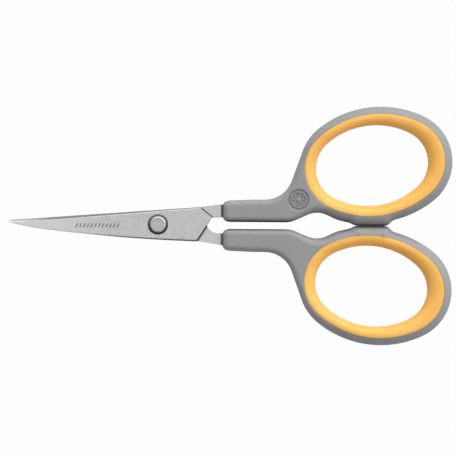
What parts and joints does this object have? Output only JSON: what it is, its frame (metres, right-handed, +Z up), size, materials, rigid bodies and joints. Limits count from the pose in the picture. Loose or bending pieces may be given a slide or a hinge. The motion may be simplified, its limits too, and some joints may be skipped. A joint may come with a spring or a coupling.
{
  "type": "scissors",
  "caption": "Small pointed detail scissors with two riveted steel blades, hard oval finger-loop handles and soft ring grips inside the loops.",
  "frame": {"origin": "middle of the bottom of the scissors' box, lying flat and closed, on the plane that the handles rest on", "axes": "+X from the blade tips towards the finger loops, +Y towards the handle of the front blade, +Z up, from the resting face to the front"},
  "size_m": [0.1016, 0.0544, 0.0066],
  "materials": {
    "blade_steel": "fine satin grind along the blade, on a hard coated stainless steel",
    "rivet_steel": "turned steel with a bright chamfer",
    "handle_plastic": "neutral grey moulded plastic with a fine satin texture",
    "grip_rubber": "soft warm yellow-orange thermoplastic rubber, smooth and matt"
  },
  "bodies": {
    "lower_half": {"rear_blade": "blade_steel", "pivot_rivet": "rivet_steel", "rivet_burr": "rivet_steel", "lower_handle": "handle_plastic", "lower_grip": "grip_rubber"},
    "upper_half": {"front_blade": "blade_steel", "upper_handle": "handle_plastic", "upper_grip": "grip_rubber"}
  },
  "joints": [
    {"name": "blade_pivot", "type": "hinge", "parent": "lower_half", "child": "upper_half", "pos_m": [-0.01638, 0, 0.0033], "axis": [0, 0, 1], "range_deg": [0, 145]}
  ]
}
